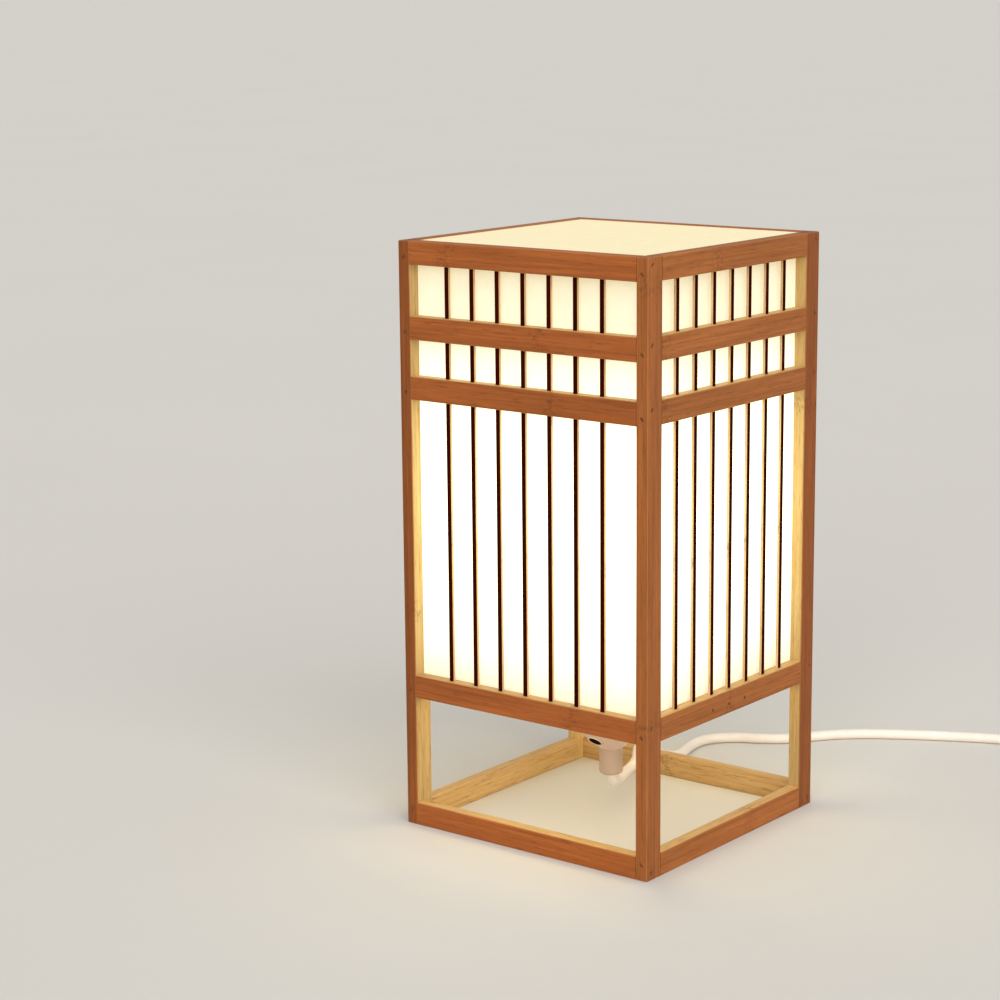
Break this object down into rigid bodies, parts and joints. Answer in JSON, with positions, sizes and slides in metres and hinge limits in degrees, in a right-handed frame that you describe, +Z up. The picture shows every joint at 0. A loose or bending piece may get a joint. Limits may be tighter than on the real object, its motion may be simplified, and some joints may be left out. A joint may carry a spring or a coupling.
{
  "type": "table_lamp",
  "caption": "Square bamboo lantern table lamp: nailed dark bamboo frame with slats, white lit shade box, screw bulb on a cross board, white cord with switch and plug",
  "frame": {"origin": "middle of the square footprint, on the table; the cord is left out", "axes": "+Z up, front face to -Y, right face to +X; the cord leaves to the rear"},
  "size_m": [0.376, 0.3087, 0.3],
  "materials": {
    "bamboo": "satin varnished, heat-darkened bamboo strip",
    "slat_bamboo": "satin, dark-stained bamboo slat",
    "shade_sheet": "translucent warm white sheet",
    "nail_steel": "dull wire nail",
    "board_wood": "plain sanded board",
    "holder_plastic": "moulded white",
    "socket_ceramic": "glazed insulator",
    "socket_brass": "stamped",
    "bulb_metal": "rolled",
    "bulb_black": "black insulator",
    "bulb_white": "moulded white",
    "bulb_opal": "opal, lit",
    "cord_white": "soft white jacket",
    "tie_strap": "hook strap",
    "switch_white": "moulded white",
    "screw_steel": "small screw",
    "pin_nickel": "plated contact pin"
  },
  "bodies": {
    "lamp": {"centre_contact": "socket_brass", "coil_tie": "tie_strap", "cord_coil": "cord_white", "cord_grip": "holder_plastic", "cord_lead": "cord_white", "cord_run": "cord_white", "cord_tail": "cord_white", "cross_board": "board_wood", "foot_rail_front": "bamboo", "foot_rail_left": "bamboo", "foot_rail_rear": "bamboo", "foot_rail_right": "bamboo", "holder_cap": "holder_plastic", "holder_ring": "holder_plastic", "holder_sleeve": "holder_plastic", "nails": "nail_steel", "neck_rail_front": "bamboo", "neck_rail_left": "bamboo", "neck_rail_rear": "bamboo", "neck_rail_right": "bamboo", "plug_body": "switch_white", "plug_pins": "pin_nickel", "post_front_left": "bamboo", "post_front_right": "bamboo", "post_rear_left": "bamboo", "post_rear_right": "bamboo", "screw_shell": "socket_brass", "shade_front": "shade_sheet", "shade_left": "shade_sheet", "shade_rear": "shade_sheet", "shade_right": "shade_sheet", "shade_top": "shade_sheet", "skirt_rail_front": "bamboo", "skirt_rail_left": "bamboo", "skirt_rail_rear": "bamboo", "skirt_rail_right": "bamboo", "slats_front": "slat_bamboo", "slats_left": "slat_bamboo", "slats_rear": "slat_bamboo", "slats_right": "slat_bamboo", "socket_core": "socket_ceramic", "switch_base": "switch_white", "switch_cover": "switch_white", "switch_screws": "screw_steel", "terminal_screws": "socket_brass", "top_rail_front": "bamboo", "top_rail_left": "bamboo", "top_rail_rear": "bamboo", "top_rail_right": "bamboo", "waist_rail_front": "bamboo", "waist_rail_left": "bamboo", "waist_rail_rear": "bamboo", "waist_rail_right": "bamboo"},
    "bulb_base": {"bulb_tip": "bulb_metal", "bulb_insulator": "bulb_black", "bulb_screw_cap": "bulb_metal"},
    "bulb_top": {"bulb_housing": "bulb_white", "bulb_light_board": "bulb_metal", "bulb_globe": "bulb_opal"},
    "rocker": {"switch_rocker": "switch_white"}
  },
  "joints": [
    {"name": "bulb_lift", "type": "slide", "parent": "lamp", "child": "bulb_base", "axis": [0, 0, 1], "range_m": [0, 0.0182]},
    {"name": "bulb_turn", "type": "hinge", "parent": "bulb_base", "child": "bulb_top", "pos_m": [0, 0, 0.0867], "axis": [0, 0, 1], "range_deg": [0, 1800]},
    {"name": "switch_rock", "type": "hinge", "parent": "lamp", "child": "rocker", "pos_m": [0.17367, 0.20077, 0.0131], "axis": [0.6387, 0.7695, 0], "range_deg": [-16, 0]}
  ],
  "couplings": [
    {"joint": "bulb_lift", "follows": "bulb_turn", "m_per_rad": 0.00057757}
  ]
}
